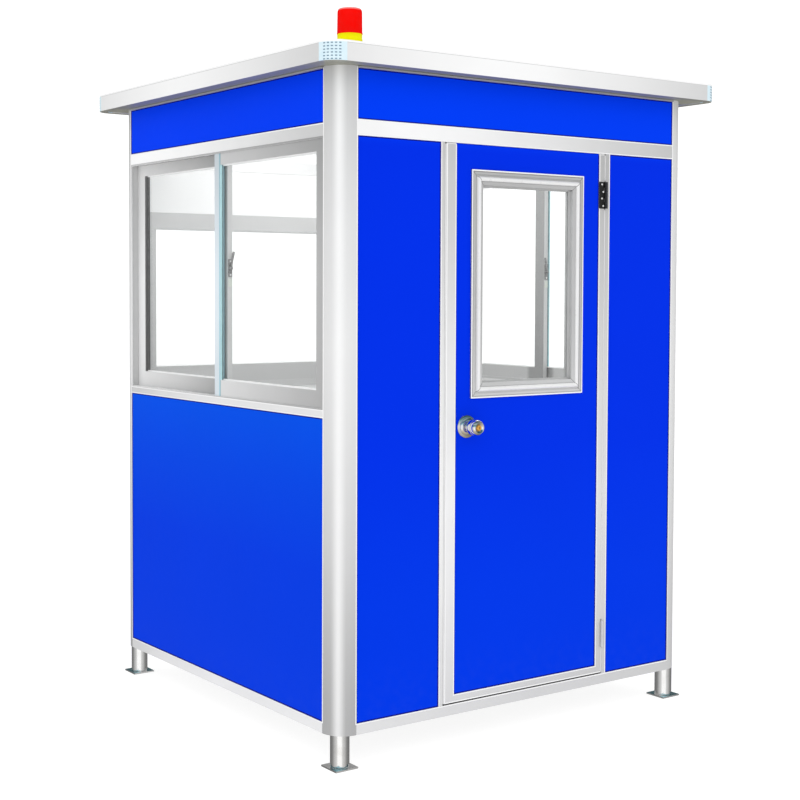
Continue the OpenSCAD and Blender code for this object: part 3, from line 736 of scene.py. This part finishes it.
def door_lines():
    """Beads round the door leaf and its panel, coloured white as a painted highlight, and a dark line round
    the panel painted as shadow.
    """
    leaf_low, leaf_high = box_of("door_frame", wall=FRONT)
    low, high = box_of("door_panel", wall=FRONT)
    beads = Solid("door_beads")
    for x, foot in ((leaf_low.x, leaf_low.z), (low.x - BEAD, low.z), (high.x, low.z)):
        strip(beads, FRONT, (x, x + BEAD), (foot, leaf_high.z), BEAD_DEPTH)
    strip(beads, FRONT, (leaf_low.x + BEAD, leaf_high.x), (leaf_low.z, leaf_low.z + BEAD), BEAD_DEPTH)
    strip(beads, FRONT, (low.x - BEAD, high.x + BEAD), (low.z - BEAD, low.z), BEAD_DEPTH)
    # painted highlight: white beads along the leaf's edges
    beads.make("door", "bead", "frame_aluminium")
    joint = Solid("door_panel_shadow_line")
    for x in (low.x, high.x - SHADOW_W):
        strip(joint, FRONT, (x, x + SHADOW_W), (low.z, high.z), SHADOW_DEPTH)
    strip(joint, FRONT, (low.x, high.x), (low.z, low.z + SHADOW_W), SHADOW_DEPTH)
    # painted shadow: the dark line round the door panel
    joint.make("door", "joint", "blue_panel")


def door_seals():
    """Seals over, under and beside the door leaf, and the one on its hinge side's door post; the pale ones
    fill the gaps as painted light that hides the gaps' shade.
    """
    leaf_low, leaf_high = box_of("door_frame", wall=FRONT)
    low, high = box_of("door_panel", wall=FRONT)
    over = (leaf_high.z - 1 * MM, leaf_high.z + 4 * MM)
    top = Solid("door_top_seal")
    strip(top, FRONT, (low.x, high.x), over, (3 * MM, 9 * MM))
    top.make("door", "blue_panel", "blue_panel", soft=0.5 * MM)
    sweep = Solid("door_sweep")
    under = (leaf_low.z - 4 * MM, leaf_low.z + 1 * MM)
    strip(sweep, FRONT, (leaf_low.x, leaf_high.x), under, (2 * MM, 8 * MM))
    sweep.make("door", "black", soft=0.5 * MM)
    lip = 5 * MM
    depth = (1 * MM, 6 * MM)
    seal = Solid("door_edge_seal")
    for x in ((leaf_low.x, low.x), (high.x, leaf_high.x)):
        strip(seal, FRONT, x, over, depth)
    strip(seal, FRONT, (leaf_low.x - lip, leaf_low.x), (leaf_low.z, leaf_high.z), depth)
    # painted light: the pale seal fills the gap where shade would show
    seal.make("door", "seal", "frame_aluminium", soft=0.4 * MM)
    hinges_low, hinges_high = box_of("door_hinge_leaves", wall=FRONT)
    clear = 3 * MM
    spans = [(leaf_low.z, hinges_low.z - clear),
             (hinges_low.z + HINGE_H + clear, hinges_high.z - HINGE_H - clear),
             (hinges_high.z + clear, leaf_high.z)]
    way = leaf_high.x + DOOR_GAP
    jamb = Solid("jamb_seal")
    for span in spans:
        strip(jamb, FRONT, (way - 3.5 * MM, way), span, (1 * MM, 12 * MM))
    # painted light: the pale seal fills the gap where shade would show
    jamb.make("booth", "seal", "frame_aluminium", soft=0.4 * MM)


# ---- door window and lock

def door_trim():
    """Mitred moulded trim on both sides of the door's window, with the sleeve that holds the pane, and a
    crown and outer edge lines painted bright as highlights.
    """
    low, high = box_of("door_window_trim", wall=FRONT)
    glass_low, glass_high = box_of("door_glass", wall=FRONT)
    sleeve = 6 * MM
    hole_low = (glass_low.x + sleeve, glass_low.z + sleeve)
    hole_high = (glass_high.x - sleeve, glass_high.z - sleeve)
    width = hole_low[0] - low.x
    ridge = (27 * MM, 12 * MM)
    for side, crest, skin, sign, pane in (("outer", low.y, DOOR_SKINS[0], -1, glass_low.y),
                                          ("inner", high.y, DOOR_SKINS[1], 1, glass_high.y)):
        rise = abs(crest - skin)

        def at(share):
            """Depth at a share of the trim's height."""
            return skin + sign * rise * share

        profile = [(width, skin), (width, at(0.3)), (width - 4.5 * MM, at(0.3)), (width - 6 * MM, at(0.14))]
        profile += [(width - 8 * MM, at(0.38)), (34 * MM, at(0.42)), (32 * MM, at(0.2)), (28 * MM, at(0.2))]
        profile += [(ridge[0], at(0.3)), (ridge[1], at(0.3)), (11 * MM, at(0.5)), (2 * MM, at(0.26))]
        profile += [(0.0, at(0.16)), (0.0, pane), (sleeve, pane), (sleeve, skin)]
        piece = Solid(f"door_trim_{side}").ring(hole_low, hole_high, profile, FRONT)
        trim = piece.make("door", "trim", "trim_aluminium")
        if side == "outer":
            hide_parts("door_window_trim")
        middle = sum(ridge) / 2
        radius = (ridge[0] - ridge[1]) / 2
        rounding = arc((0, 0), radius, 0, 180, 10)
        crown = [(middle + out, at(0.28 + 0.72 * lift / radius)) for out, lift in rounding]
        # the crown piece wears the painted highlight
        moulding = Solid(f"door_trim_crown_{side}").ring(hole_low, hole_high, crown, FRONT)
        moulding.make("door", "crown", "trim_aluminium")
        # painted highlight: a white line along the trim's outer edge
        lines = Solid(f"door_trim_lines_{side}")
        edge = [(width, at(0.1)), (width, at(0.4)), (width - 4 * MM, at(0.44)), (width - 4.4 * MM, at(0.1))]
        lines.ring(hole_low, hole_high, edge, FRONT)
        lines.make("door", "bead", "trim_aluminium")
        gasket = [(0.0, pane), (-6 * MM, pane), (-5 * MM, pane + sign * 2 * MM)]
        gasket += [(0.0, pane + sign * 5 * MM)]
        seal = Solid(f"door_glass_seal_{side}").ring(hole_low, hole_high, gasket, FRONT)
        seal.make("door", "glass_seal")


def rose_profile(radius):
    """Stepped round plate of a radius, bored for the knob's neck."""
    profile = [(radius, 0.0), (radius, 1.5 * MM), (radius - 1 * MM, 3 * MM), (radius - 5 * MM, 4.6 * MM)]
    profile += [(radius - 8 * MM, 5.2 * MM), (radius - 8.5 * MM, 8 * MM), (radius - 12 * MM, 10.6 * MM)]
    return profile + [(18.5 * MM, 12 * MM), (12.5 * MM, 11.6 * MM), (12.5 * MM, 0.0)]


def knob_profile(radius, tip):
    """Turned knob of a radius on a neck, grooved round its middle and recessed for its key cylinder."""
    below = [(12 * MM, 0.0), (12 * MM, tip - 50 * MM), (16 * MM, tip - 49 * MM), (21 * MM, tip - 46 * MM)]
    ball = [(1.6, 40), (0.5, 31), (0.8, 23), (3.4, 21.8), (3.4, 20.2), (0.6, 19), (0, 15), (1.2, 9), (4, 4),
            (8, 1.2), (11, 1.6)]
    face = [(10.5 * MM, tip - 5 * MM), (9 * MM, tip - 5.4 * MM), (9 * MM, tip - 7 * MM)]
    return below + [(radius - inset * MM, tip - drop * MM) for inset, drop in ball] + face


def knob_parts():
    """Round plates and turned knobs with a key cylinder outside and a button inside."""
    low, high = box_of("door_knob", wall=FRONT)
    centre_x = (low.x + high.x) / 2
    centre_z = (low.z + high.z) / 2
    radius = (high.x - low.x) / 2
    plate_low, plate_high = box_of("door_knob_roses", wall=FRONT)
    plate_r = (plate_high.x - plate_low.x) / 2
    button = [(7, 8), (7, 1.5), (6, 0.5), (2, 0.2)]
    cylinder = [(8.6, 8), (8.6, 2.4), (7.6, 1.4), (5.4, 1.2), (5.2, 1.8)]
    plates = Solid("lock_plates")
    knobs = Solid("knob_turned")
    keys = Solid("knob_cylinder")
    for skin, out, reach, key in ((DOOR_SKINS[0], -1, low.y, cylinder), (DOOR_SKINS[1], 1, high.y, button)):
        where = facing(FRONT @ Vector((centre_x, skin, centre_z)), (0, out, 0))
        plates.skin(turned(rose_profile(plate_r)), where, closed=True)
        tip = abs(reach - skin)
        knobs.skin(turned(knob_profile(radius, tip)), where)
        keys.lathe([(wide * MM, tip - drop * MM) for wide, drop in key], where, 32)
    knob = knobs.make("knob", "knob", "knob_steel")
    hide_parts("door_knob")
    keys.make("knob", "brass")
    roses = plates.make("door", "knob", "knob_steel")
    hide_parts("door_knob_roses")
    slot = Solid("keyway")
    key_face = abs(low.y - DOOR_SKINS[0]) - 1.9 * MM
    where = facing(FRONT @ Vector((centre_x, DOOR_SKINS[0], centre_z)), (0, -1, 0))
    slot.block((-0.9 * MM, -3.6 * MM, key_face), (0.9 * MM, 3.6 * MM, key_face + 0.25 * MM), where)
    slot.make("knob", "black", soft=0.1 * MM)


def hinge_screws():
    """Countersunk screws in zigzag on the upper hinge's leaf."""
    low, high = box_of("door_hinge_leaves", wall=FRONT)
    screws = Solid("hinge_screws")
    for index, share in enumerate((0.09, 0.37, 0.62, 0.9)):
        x = low.x + (18 * MM if index % 2 else 12 * MM)
        z = high.z - HINGE_H * share
        add_screw(screws, facing(FRONT @ Vector((x, -2 * MM, z)), (0, -1, 0)), 3.4 * MM)
    screws.make("door", "screw", "hinge_steel")


def add_screw(solid, where, radius):
    """A low screw head with a cross recess, its seat at the frame's origin."""
    rise = radius * 0.35
    head = [(radius, 0.0), (radius, rise * 0.35), (radius * 0.72, rise)]
    solid.lathe(head, where, 20)
    arm, half = radius * 0.6, radius * 0.14
    for first, second in ((arm, half), (half, arm)):
        solid.block((-first, -second, rise), (first, second, rise + 0.05 * MM), where)


# ---- windows

PANE_BACK = 2 * MM              # from a pane to the back of its sash
PANE_T = 5 * MM
MEET_W = 40 * MM                # width of the outer sash's meeting stile


def pane_of(side, sash):
    """Clear opening of a sash and its pane's two faces, in the side wall's frame."""
    back = box_of(f"{side}_sash_{sash}", wall=WALLS[side])[1].y
    edge = box_of(f"{side}_sash_outer", wall=WALLS[side])[0].x
    glass_low, glass_high = box_of(f"{side}_window_glass", wall=WALLS[side])
    depth = (back - PANE_BACK - PANE_T, back - PANE_BACK)
    span = (edge + MEET_W, glass_high.x) if sash == "outer" else (glass_low.x, edge)
    return span, (glass_low.z, glass_high.z), depth


def glazing_seals():
    """Seals along the tops, feet and front ends of the sliding panes, and round the back pane, coloured
    white as painted highlights at the panes' edges.
    """
    seals = Solid("window_seals")
    gaskets = Solid("pane_gaskets")
    wide = 4 * MM
    for side in SIDES:
        wall = WALLS[side]
        for sash in ("outer", "inner"):
            (x0, x1), (z0, z1), depths = pane_of(side, sash)
            for depth, sign in zip(depths, (-1, 1)):
                proud = (min(depth, depth + sign * 1.6 * MM), max(depth, depth + sign * 1.6 * MM))
                for z in (z0, z1 - wide):
                    strip(seals, wall, (x0, x1), (z, z + wide), proud)
                if sash == "outer":
                    strip(seals, wall, (x1 - wide, x1), (z0, z1), proud)
                else:
                    strip(gaskets, wall, (x0, x0 + 8 * MM), (z0 + wide, z1 - wide), proud)
    low, high = box_of("back_window_glass", wall=BACK)
    for depth, sign in ((low.y, -1), (high.y, 1)):
        profile = [(0.0, depth), (-wide, depth), (-3.5 * MM, depth + sign * 2 * MM)]
        profile += [(0.0, depth + sign * 4 * MM)]
        seals.ring((low.x, low.z), (high.x, high.z), profile, BACK)
    # painted highlight: the seals are white for the light along the panes' edges
    seals.make("booth", "window_line")
    gaskets.make("booth", "gasket")


def meeting_gaskets():
    """Teal gasket on the free edge of each outer meeting stile, and behind it a dark strip painted as the
    shadow in the gap between the sashes.
    """
    teal = Solid("meeting_gaskets")
    dark = Solid("meeting_gap_shadows")
    for side in SIDES:
        span, height, depths = pane_of(side, "outer")
        edge = span[0]
        face = box_of(f"{side}_sash_outer", wall=WALLS[side])[0].y
        strip(teal, WALLS[side], (edge, edge + 1.6 * MM), height, (face + 0.5 * MM, face + 5 * MM))
        # painted shadow: a dark strip for the gap between the sashes
        strip(dark, WALLS[side], (edge, edge + 1.2 * MM), height, (face + 5.5 * MM, depths[0] - 2 * MM))
    teal.make("booth", "teal", "window_aluminium", soft=0.3 * MM)
    dark.make("booth", "gap_shadow_strip", "window_aluminium", soft=0.3 * MM)


def catch_lever(edge, middle, hub_z, tip_z):
    """Loops of a lever that leans back from its hub to its tip."""
    foot = 4.5 * MM
    lean = 0.9 * math.tan(math.radians(12))
    loops = []
    for z, half, reach in ((hub_z, 3.6, 10), (hub_z + 25 * MM, 3, 9), (tip_z - 8 * MM, 3.4, 10.5),
                           (tip_z, 2.4, 11)):
        y = middle + (z - hub_z) * lean
        outline = ((foot, -half), (reach * MM, -half), (reach * MM, half), (foot, half))
        loops.append([(edge + x, y + across * MM, z) for x, across in outline])
    return loops


def catches():
    """Lever catches with their plates, hubs and screws, and the light blocks below them."""
    low, high = box_of("window_catches", wall=LEFT)
    edge = low.x
    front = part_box("window_catches")[0].x - shell_low.x
    plate_h = 60 * MM
    plate_t = 4 * MM
    rim = 2 * MM
    depth = (front, front + 15 * MM)
    hub_z = low.z + plate_h / 2
    middle = sum(depth) / 2
    base = edge + plate_t - 1 * MM
    hub = [(7 * MM, plate_t - 1 * MM), (7 * MM, 9 * MM), (6 * MM, 10.5 * MM), (5 * MM, 12 * MM)]
    hub += [(2 * MM, 12.5 * MM)]
    metal = Solid("catch_levers")
    screws = Solid("catch_screws")
    blocks = Solid("catch_blocks")
    for side in SIDES:
        wall = WALLS[side]
        strip(metal, wall, (edge, base), (low.z, low.z + plate_h), depth)
        strip(metal, wall, (base, edge + plate_t), (low.z + rim, low.z + plate_h - rim),
              (depth[0] + rim, depth[1] - rim))
        metal.lathe(hub, wall @ facing((edge, middle, hub_z), (1, 0, 0)), 28)
        metal.skin(catch_lever(edge, middle, hub_z, high.z - 1 * MM), wall)
        for z in (low.z + 7 * MM, low.z + plate_h - 7 * MM):
            add_screw(screws, wall @ facing((edge + plate_t, middle, z), (1, 0, 0)), 3.4 * MM)
        strip(blocks, wall, (edge, edge + 3 * MM), (low.z - 32 * MM, low.z - 6 * MM), depth)
    levers = metal.make("booth", "catch", "catch_metal", soft=0.6 * MM)
    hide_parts("window_catches")
    screws.make("booth", "screw", "catch_metal")
    blocks.make("booth", "catch_block", "catch_metal", soft=0.6 * MM)


# ---- roof, light and legs

def beacon():
    """Warning light: ribbed red lens on a yellow base with a collar."""
    low, high = box_of("warning_light_base")
    lens_low, lens_high = box_of("warning_light_lens")
    radius = (high.x - low.x) / 2
    where = Matrix.Translation(((low.x + high.x) / 2, (low.y + high.y) / 2, 0))
    z0, z1, top = low.z, lens_low.z, lens_high.z
    base = [(radius, z0), (radius, z1 - 16 * MM), (radius - 0.8 * MM, z1 - 15 * MM)]
    base += [(radius - 1.2 * MM, z1 - 14 * MM), (radius - 1.2 * MM, z1 - 3 * MM)]
    base += [(radius - 0.6 * MM, z1 - 1.5 * MM), (radius - 0.6 * MM, z1)]
    body = Solid("beacon_base").lathe(base, where, 64).make("booth", "light_base", "light_base_plastic")
    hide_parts("warning_light_base")
    ribs = 40
    steps = ribs * 4
    depth = 0.7 * MM
    levels = [(radius, z1, 0), (radius, z1 + 4 * MM, 0), (radius - 0.8 * MM, z1 + 5 * MM, 0)]
    levels += [(radius - 0.8 * MM, z1 + 6.5 * MM, 1), (radius - 1.6 * MM, top - 10 * MM, 1)]
    levels += [(radius - 2 * MM, top - 8 * MM, 0.4), (radius - 3 * MM, top - 5 * MM, 0)]
    levels += [(radius - 5 * MM, top - 1.6 * MM, 0), (radius - 8 * MM, top, 0), (4 * MM, top, 0)]
    turns = [math.tau * step / steps for step in range(steps)]
    loops = []
    for wide, z, share in levels:
        wides = [wide - depth * share * (0.5 - 0.5 * math.cos(ribs * turn)) for turn in turns]
        loops.append([(w * math.cos(turn), w * math.sin(turn), z) for w, turn in zip(wides, turns)])
    lens = Solid("beacon_lens").skin(loops, where).make("booth", "lens", "red_lens")
    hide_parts("warning_light_lens")


def cap_slots():
    """Rows of small slots on each of the roof's corner caps, drawn as thin tiles coloured dark as the
    painted shade of their hollows.
    """
    high = box_of("roof_corner_caps")[1]
    rows, columns = 6, 5
    row_pitch = 9.3 * MM
    across, tall = 3.4 * MM, 1.7 * MM
    step = math.radians(11.7)
    middle = (ROOF_Z + ROOF_TOP) / 2
    slots = Solid("cap_slots")
    for side_x in (-1, 1):
        for side_y in (-1, 1):
            centre = Vector((side_x * (high.x - CAP_R), side_y * (high.y - CAP_R), middle))
            diagonal = math.atan2(side_y, side_x)
            for row in range(rows):
                for column in range(columns):
                    turn = diagonal + (column - (columns - 1) / 2) * step
                    out = Vector((math.cos(turn), math.sin(turn), 0))
                    spot = centre + Vector((0, 0, (row - (rows - 1) / 2) * row_pitch))
                    where = facing(spot + out * (CAP_R - 0.6 * MM), out)
                    slots.block((-across, -tall, 0), (across, tall, 1.0 * MM), where)
    # painted shade: the slots' hollows are a darker colour on raised tiles
    slots.make("booth", "cap_slot", "corner_plastic", soft=0.3 * MM)


def roof_lip():
    """White lip round the roof's top."""
    high = box_of("roof_fascia")[1]
    lip_t, lip_h, round_r = 3 * MM, 6 * MM, 0.8 * MM
    profile = [(-lip_t, ROOF_TOP), (0.0, ROOF_TOP), (0.0, ROOF_TOP + lip_h - round_r)]
    profile += [(-round_r, ROOF_TOP + lip_h), (round_r - lip_t, ROOF_TOP + lip_h)]
    profile += [(-lip_t, ROOF_TOP + lip_h - round_r)]
    loops = [[(point[0] + normal[0] * out, point[1] + normal[1] * out, z) for out, z in profile]
             for point, normal in rounded_outline(high, CAP_R)]
    Solid("roof_lip").skin(loops, Matrix.Identity(4), closed=True).make("booth", "bead", "roof_trim")


def rounded_outline(high, radius, steps=12):
    """Points and outward normals round a rectangle about the origin with rounded corners."""
    found = []
    for index, (side_x, side_y) in enumerate(((1, 1), (-1, 1), (-1, -1), (1, -1))):
        centre = ((high.x - radius) * side_x, (high.y - radius) * side_y)
        for step in range(steps + 1):
            turn = math.radians(90 * index + 90 * step / steps)
            normal = (math.cos(turn), math.sin(turn))
            found.append(((centre[0] + radius * normal[0], centre[1] + radius * normal[1]), normal))
    return found


def leg_welds():
    """Small weld fillets round the foot of each pipe leg."""
    welds = Solid("leg_welds")
    for name in ("leg_front_left", "leg_front_right", "leg_back_left", "leg_back_right"):
        low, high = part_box(name)
        where = Matrix.Translation(((low.x + high.x) / 2, (low.y + high.y) / 2, FOOT_T))
        fillet = [(PIPE_R, 0.0), (PIPE_R + 2 * MM, 0.0), (PIPE_R + 1.2 * MM, 1.2 * MM), (PIPE_R, 2 * MM)]
        welds.skin(turned(fillet), where, closed=True)
    welds.make("booth", "leg", "leg_steel")


# ---- camera, light and floor

def camera():
    """The viewpoint: in front of the booth to its left, at eye height."""
    place = Matrix.Translation((-3.1727, -4.3083, 1.4628))
    yaw = Matrix.Rotation(0.9586 - math.pi / 2, 4, "Z")
    pitch = Matrix.Rotation(math.pi / 2 - 0.0407, 4, "X")
    roll = Matrix.Rotation(0.0029, 4, "Z")
    data = bpy.data.cameras.new("camera")
    data.lens = 65.36
    data.shift_x = 0.047
    data.shift_y = -0.0652
    viewer = bpy.data.objects.new("camera", data)
    viewer.matrix_world = place @ yaw @ pitch @ roll
    scene.collection.objects.link(viewer)
    scene.camera = viewer


def surround():
    """A white studio. Glossy metal sees it bright to the front left, and darker behind and overhead."""
    world = bpy.data.worlds.new("studio")
    scene.world = world
    world.use_nodes = True
    sky = Nodes(world.node_tree)
    white = sky.add("ShaderNodeBackground", {"Color": (1, 1, 1, 1), "Strength": 1.2})
    even = sky.add("ShaderNodeBackground", {"Color": (1, 1, 1, 1), "Strength": 1.04})
    direction = sky.add("ShaderNodeTexCoord").outputs["Generated"]
    towards = (-0.574, -0.818, 0)
    turned_to = sky.add("ShaderNodeVectorMath", {0: direction, 1: towards}, operation="DOT_PRODUCT")
    marks = [(-1.0, 0.16), (-0.33, 0.18), (0.0, 0.24), (0.26, 0.37), (0.48, 0.5), (0.67, 0.56)]
    marks += [(0.81, 0.68), (0.88, 1.0), (1.0, 1.0)]
    level = sky.follow(turned_to.outputs["Value"], marks)
    height = sky.add("ShaderNodeSeparateXYZ", {"Vector": direction}).outputs["Z"]
    tint = [(-0.8, (0.9, 0.78, 0.55)), (-0.45, (1.0, 0.92, 0.78)), (-0.3, (1.0, 1.0, 1.0)),
            (0.1, (1.0, 1.0, 1.0)), (0.25, (0.3, 0.62, 0.7)), (0.45, (0.06, 0.14, 0.18)),
            (0.7, (0.7, 0.95, 1.0)), (0.9, (0.2, 0.3, 0.34))]
    mirrored = sky.add("ShaderNodeBackground", {"Color": sky.scale(level, sky.follow(height, tint)),
                                                "Strength": STUDIO})
    path = sky.add("ShaderNodeLightPath").outputs
    seen = sky.math("MAXIMUM", path["Is Camera Ray"], path["Is Transmission Ray"])
    shaders = {0: path["Is Glossy Ray"], 1: even.outputs[0], 2: mirrored.outputs[0]}
    unseen = sky.add("ShaderNodeMixShader", shaders)
    blend = sky.add("ShaderNodeMixShader", {0: seen, 1: unseen.outputs[0], 2: white.outputs[0]})
    sky.feed(world.node_tree.nodes["World Output"].inputs["Surface"], blend.outputs[0])


def studio():
    """Soft boxes and a pale floor that shines enough to carry only faint shadows."""
    surround()
    soft_box("key", (-4.5, -6.0, 5.0), 4.0, 40)
    soft_box("cabin", (0, 0, ROOF_Z - 0.02), 1.1, 9, aim=(0, 0, 0))
    floor = bpy.data.meshes.new("studio_floor")
    grid = bmesh.new()
    bmesh.ops.create_circle(grid, cap_ends=True, segments=96, radius=60)
    grid.to_mesh(floor)
    grid.free()
    ground = bpy.data.objects.new("studio_floor", floor)
    finish = Finish("studio_floor", Roughness=0.7, Specular_IOR_Level=0.0, Emission_Strength=0.78)
    finish.colour(finish.mix(finish.noise(2.0), tone(172), tone(176)))
    finish.shader.inputs["Emission Color"].default_value = (1, 1, 1, 1)
    floor.materials.append(finish.material)
    scene.collection.objects.link(ground)
    ground.visible_glossy = False


def soft_box(name, place, size, power, aim=(0, 0, 1.1)):
    """A square soft light that no camera or metal sees."""
    data = bpy.data.lights.new(name, "AREA")
    data.size = size
    data.energy = power
    light = bpy.data.objects.new(name, data)
    light.location = place
    light.rotation_mode = "QUATERNION"
    light.rotation_quaternion = (Vector(aim) - Vector(place)).to_track_quat("-Z", "Y")
    light.visible_camera = False
    light.visible_glossy = False
    scene.collection.objects.link(light)


finish_cad_nodes()
for profiled in ("door_jamb_left", "door_jamb_right", "door_frame", "window_frame_left",
                 "window_frame_right", "window_frame_back", "left_sash_outer", "left_sash_inner",
                 "right_sash_outer", "right_sash_inner"):
    soften_node(profiled, 0.8 * MM)
frame_beads()
panel_shadow_lines()
soffit_angles()
door_lines()
door_seals()
door_trim()
knob_parts()
hinge_screws()
glazing_seals()
meeting_gaskets()
catches()
beacon()
cap_slots()
roof_lip()
leg_welds()
camera()
studio()
scene.view_settings.view_transform = "Standard"
